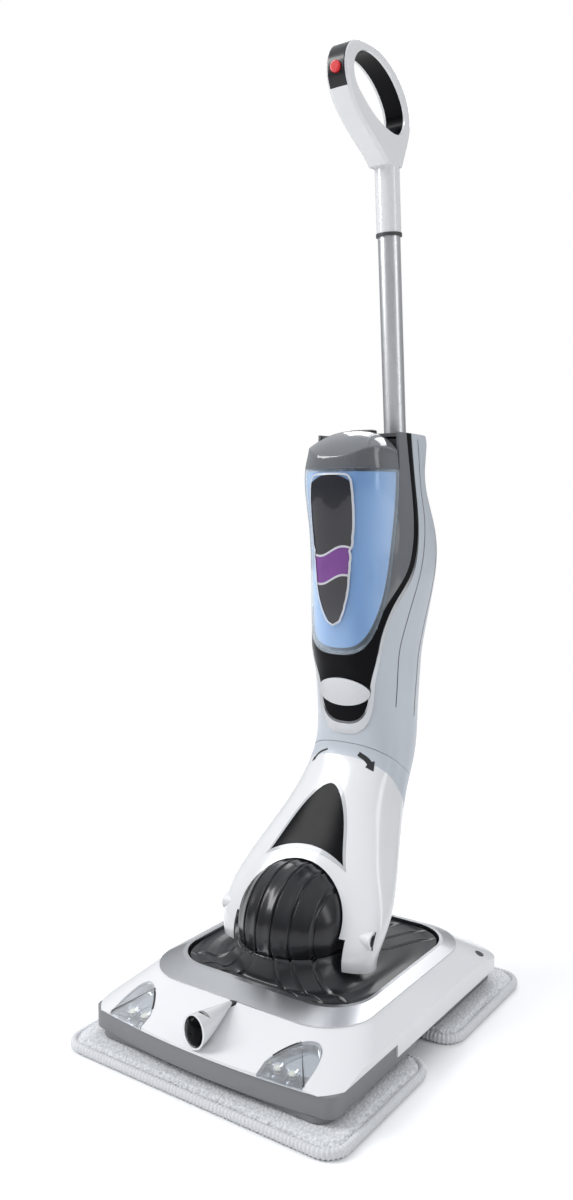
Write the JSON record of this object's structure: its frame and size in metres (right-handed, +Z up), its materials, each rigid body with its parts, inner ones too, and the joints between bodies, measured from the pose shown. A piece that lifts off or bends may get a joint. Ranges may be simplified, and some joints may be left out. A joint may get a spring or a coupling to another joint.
{
  "type": "steam mop",
  "caption": "Upright steam mop: pivoting ball-jointed head with a spray nozzle, headlights and scrubbing pads, a swivelling body with a clear tank, and a tube with a loop handle.",
  "frame": {"origin": "on the floor under the middle of the whole mop's outline", "axes": "+Z up, front of the head faces -Y, +X to the right"},
  "size_m": [0.36, 0.4782, 1.1313],
  "materials": {
    "white_gloss": "smooth glossy white moulded plastic",
    "dark_plastic": "fine matt dark plastic",
    "silver_ring": "brushed silver",
    "smoked_grey": "smoked grey gloss",
    "charcoal_gloss": "glossy charcoal",
    "steel": "plain steel",
    "grey_plastic": "matt grey plastic",
    "clear_lens": "clear polished lens",
    "chrome": "bright chrome plating",
    "bulb_glass": "clear warm glass",
    "black_gloss": "piano black gloss",
    "hose": "soft black rubber",
    "hook_strip": "hook-and-loop strip",
    "microfibre": "white looped microfibre",
    "pearl": "pearl white with a faint blue sheen",
    "badge_grey": "satin grey",
    "bush": "natural nylon",
    "smoked_clear": "smoked clear plastic",
    "board": "green circuit board",
    "brushed_aluminium": "brushed lengthwise",
    "clear_tank": "clear polished plastic",
    "clear_tube": "clear polished plastic",
    "blue_liquid": "clear pale blue liquid",
    "label": "dark printed film",
    "cap_plastic": "matt plastic",
    "red_button": "glossy red"
  },
  "bodies": {
    "head": {"head_cover": "white_gloss", "corner_plugs": "dark_plastic", "bezel_ring": "silver_ring", "ball_skirt": "smoked_grey", "ball_dome": "charcoal_gloss", "pivot_pin": "steel", "base_tray": "grey_plastic", "base_screws": "steel", "guide_screws": "steel", "headlight_lenses": "clear_lens", "headlight_reflectors": "chrome", "headlight_bulbs": "bulb_glass", "nozzle_shroud": "white_gloss", "spray_nozzle": "black_gloss", "spray_hose": "hose", "drive_bracket": "dark_plastic", "drive_motor": "steel"},
    "crank_body": {"crank": "steel"},
    "rocker_body": {"rocker_arm": "dark_plastic"},
    "front_scrubber": {"front_pad_plate": "grey_plastic", "front_hook_strips": "hook_strip", "front_pad": "microfibre"},
    "rear_scrubber": {"rear_pad_plate": "grey_plastic", "rear_hook_strips": "hook_strip", "rear_pad": "microfibre"},
    "neck": {"neck_front": "white_gloss", "neck_rear": "pearl", "badge_frame": "badge_grey", "badge_panel": "black_gloss", "pivot_bushes": "bush", "swivel_base": "dark_plastic", "swivel_ring": "bush"},
    "upper_body": {"rear_shell": "pearl", "chrome_trim": "chrome", "front_panel": "black_gloss", "side_windows": "smoked_clear", "oval_badge": "silver_ring", "swivel_floor": "dark_plastic", "tank_cradle": "smoked_grey", "tube_socket": "dark_plastic", "top_bridge": "dark_plastic", "pump": "dark_plastic", "control_board": "board", "cord_inlet": "hose", "handle_tube": "brushed_aluminium", "collar_ring": "dark_plastic", "handle_shell": "white_gloss", "grip_inlay": "black_gloss", "front_inlay": "charcoal_gloss", "micro_switch": "dark_plastic"},
    "tank": {"tank_shell": "clear_tank", "tank_top": "smoked_clear", "dip_tube": "clear_tube", "tank_liquid": "blue_liquid", "tank_valve": "bush", "tank_label": "label"},
    "cap": {"fill_cap": "cap_plastic"},
    "latch": {"tank_latch": "smoked_grey"},
    "button": {"power_button": "red_button"}
  },
  "joints": [
    {"name": "recline", "type": "hinge", "parent": "head", "child": "neck", "pos_m": [0, -0.04013, 0.122], "axis": [-1, 0, 0], "range_deg": [0, 40]},
    {"name": "swivel", "type": "hinge", "parent": "neck", "child": "upper_body", "pos_m": [0, 0.09887, 0.281], "axis": [0, 0.6157, 0.788], "range_deg": [-90, 90]},
    {"name": "front_slide", "type": "slide", "parent": "head", "child": "front_scrubber", "axis": [1, 0, 0], "range_m": [-0.006, 0.006]},
    {"name": "rear_slide", "type": "slide", "parent": "head", "child": "rear_scrubber", "axis": [1, 0, 0], "range_m": [-0.006, 0.006]},
    {"name": "rocker_turn", "type": "hinge", "parent": "head", "child": "rocker_body", "pos_m": [0, -0.01813, 0.026], "axis": [0, 0, 1], "range_deg": [-12, 12]},
    {"name": "crank_spin", "type": "hinge", "parent": "head", "child": "crank_body", "pos_m": [0.026, -0.01813, 0.03], "axis": [0, 0, 1], "continuous": true},
    {"name": "tank_lift", "type": "slide", "parent": "upper_body", "child": "tank", "axis": [0, -1, 0], "range_m": [0, 0.15]},
    {"name": "cap_turn", "type": "hinge", "parent": "tank", "child": "cap", "pos_m": [0, 0.08687, 0.596], "axis": [0, 1, 0], "range_deg": [0, 300]},
    {"name": "latch_press", "type": "slide", "parent": "upper_body", "child": "latch", "axis": [0, 0, -1], "range_m": [0, 0.003], "stiffness_N_per_m": 800, "springref_m": -0.002},
    {"name": "button_press", "type": "slide", "parent": "upper_body", "child": "button", "axis": [0, 1, 0], "range_m": [0, 0.0015], "stiffness_N_per_m": 900, "springref_m": -0.001}
  ],
  "couplings": [
    {"joint": "rear_slide", "follows": "front_slide", "ratio": -1},
    {"joint": "rocker_turn", "follows": "front_slide", "rad_per_m": 33.333}
  ]
}
